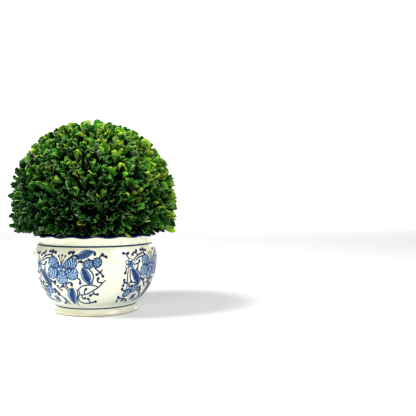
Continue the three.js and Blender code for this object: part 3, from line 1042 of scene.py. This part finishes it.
def make_core(finish):
    """The dark heart that shows in the gaps, its near-black partly moss and partly painted shade, with its
    plug in the pot's mouth.
    """
    radius = CROWN_RADIUS - CORE_DEPTH
    power = 2 / CROWN_SQUARENESS
    profile = [
        (0, PLUG_FLOOR),
        (PLUG_RADIUS - 2, PLUG_FLOOR),
        (PLUG_RADIUS, PLUG_FLOOR + 3),
        (PLUG_RADIUS, CORE_FLOOR - 3),
        (PLUG_RADIUS + 12, CORE_FLOOR - 2),
        (radius - 8, CORE_FLOOR),
        (radius - 2, CORE_FLOOR + 9),
    ]
    for a in steps_between(0, math.pi * 0.48, 16):
        profile.append((radius * math.cos(a) ** power, CROWN_CENTRE.z + radius * math.sin(a) ** power))
    profile.append((0, CROWN_CENTRE.z + radius))
    bm = spun(profile, 64)
    for vert in bm.verts:
        if vert.co.z > CORE_FLOOR and math.hypot(vert.co.x, vert.co.y) > 1:
            ripple = math.prod(math.sin(place * rate) for place, rate in zip(vert.co, CORE_RIPPLE_RATES))
            vert.co += Vector((vert.co.x, vert.co.y, 0)).normalized() * CORE_RIPPLE * ripple
    bmesh.ops.translate(bm, vec=(CROWN_CENTRE.x, CROWN_CENTRE.y, 0), verts=bm.verts)
    return piece_from(bm, "moss_core", [finish], "leaf", "foliage_dome")


def make_stem(finish):
    bm = bmesh.new()
    bmesh.ops.create_cone(bm, cap_ends=True, segments=48, radius1=1, radius2=1, depth=1)
    sides = [edge for edge in bm.edges if abs(edge.verts[0].co.z - edge.verts[1].co.z) > 0.5]
    bmesh.ops.subdivide_edges(bm, edges=sides, cuts=9, use_grid_fill=True)
    for vert in bm.verts:
        share = vert.co.z + 0.5
        turn = math.atan2(vert.co.y, vert.co.x)
        radius = STEM_RADIUS + (STEM_FLARE - STEM_RADIUS) * (1 - share) ** 2.4
        radius *= 0.97 + 0.05 * math.cos(3 * turn) + 0.02 * math.sin(11 * turn + 9 * share)
        height = STEM_FOOT + (STEM_TOP - STEM_FOOT) * share
        vert.co = (radius * math.cos(turn), radius * math.sin(turn), height)
    return piece_from(bm, "bark_stem", [finish], "bark", "stem")


def make_crown_stem(finish):
    """The stem's upper part, inside the crown, up to the boughs' forks."""
    bm = bmesh.new()
    height = LOWEST_FORK + FORK_CLIMB - STEM_TOP - STEM_GAP
    bmesh.ops.create_cone(
        bm, cap_ends=True, segments=24, radius1=STEM_RADIUS * 0.95, radius2=CROWN_STEM_TIP, depth=height,
        matrix=Matrix.Translation((0, 0, STEM_TOP + STEM_GAP + height / 2)),
    )
    return piece_from(bm, "crown_stem", [finish], "bark", "foliage_dome")


def make_foliage(bark):
    wood, twigs, leaves = grow()
    piece_from(wood, "boughs", [bark], "bark", "foliage_dome")
    piece_from(twigs, "sprig_twigs", [twig_finish()], "leaf", "foliage_dome")
    for name, bm in leaves.items():
        finishes = leaf_finishes(name, *TINTS[name][2:])
        piece_from(bm, "leaves_" + name, finishes, "leaf", "foliage_dome", smooth=False)


# Table and light

def stage_sheet(name, finish, size_x, size_y, centre, tilt=0):
    bm = bmesh.new()
    bmesh.ops.create_grid(bm, x_segments=1, y_segments=1, size=0.5)
    bmesh.ops.scale(bm, vec=(size_x, size_y, 1), verts=bm.verts)
    bmesh.ops.rotate(bm, cent=(0, 0, 0), matrix=Matrix.Rotation(tilt, 3, "X"), verts=bm.verts)
    bmesh.ops.translate(bm, vec=centre, verts=bm.verts)
    mesh = bpy.data.meshes.new(name)
    bm.to_mesh(mesh)
    bm.free()
    mesh.materials.append(finish)
    sheet = bpy.data.objects.new(name, mesh)
    bpy.context.scene.collection.objects.link(sheet)


def add_softbox(name, place, aim, width, height, watts):
    data = bpy.data.lights.new(name, "AREA")
    data.shape = "RECTANGLE"
    data.size = width
    data.size_y = height
    data.energy = watts
    light = bpy.data.objects.new(name, data)
    light.location = place
    light.rotation_euler = (Vector(aim) - Vector(place)).to_track_quat("-Z", "Y").to_euler()
    bpy.context.scene.collection.objects.link(light)


def make_light():
    """A softly lit white table and backdrop, with softboxes on the left, in front and on the right."""
    table = finish_of("lit_table", (0.8, 0.8, 0.8), 0.8, Emission_Color=(1, 1, 1, 1), Emission_Strength=0.12)
    stage_sheet("table", table, 14, 12, (0, -0.5, -0.0004))
    wall = finish_of("lit_backdrop", (0.8, 0.8, 0.8), 0.8, Emission_Color=(1, 1, 1, 1), Emission_Strength=0.9)
    stage_sheet("backdrop", wall, 4.6, 2.6, (0.2, 3, 1.2), math.radians(90))
    world = bpy.data.worlds.new("dim_room")
    world.use_nodes = True
    world.node_tree.nodes["Background"].inputs["Color"].default_value = (1, 1, 1, 1)
    world.node_tree.nodes["Background"].inputs["Strength"].default_value = 0.25
    bpy.context.scene.world = world
    add_softbox("left_softbox", (-0.95, -0.5, 1.65), (0, 0, 0.1), 0.7, 0.7, 44)
    add_softbox("front_softbox", (-0.3, -2.5, 1.1), (0, 0, 0.1), 1.6, 1.2, 15)
    add_softbox("right_softbox", (1.5, -0.9, 0.8), (0, 0, 0.12), 1.0, 1.0, 13)
    bpy.context.scene.view_settings.view_transform = "Standard"
    bpy.context.scene.view_settings.look = "Medium High Contrast"


def paint_finishes():
    return {
        "wash": paint_finish("cobalt_wash", (0.46, 0.63, 0.77), (0.3, 0.47, 0.66)),
        "mid": paint_finish("cobalt_mid", (0.1, 0.215, 0.44), (0.045, 0.12, 0.29)),
        "deep": paint_finish("cobalt_deep", (0.022, 0.063, 0.195), (0.007, 0.028, 0.108)),
        "line": paint_finish("cobalt_line", (0.045, 0.09, 0.17), (0.02, 0.05, 0.11)),
    }


paints = paint_finishes()
make_pot(paints)
make_painting(paints)
bark = bark_finish()
make_stem(bark)
make_crown_stem(bark)
make_core(moss_finish())
make_foliage(bark)
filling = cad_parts["pot_filling"]
filling.data.materials.clear()
filling.data.materials.append(foam_finish())
make_light()
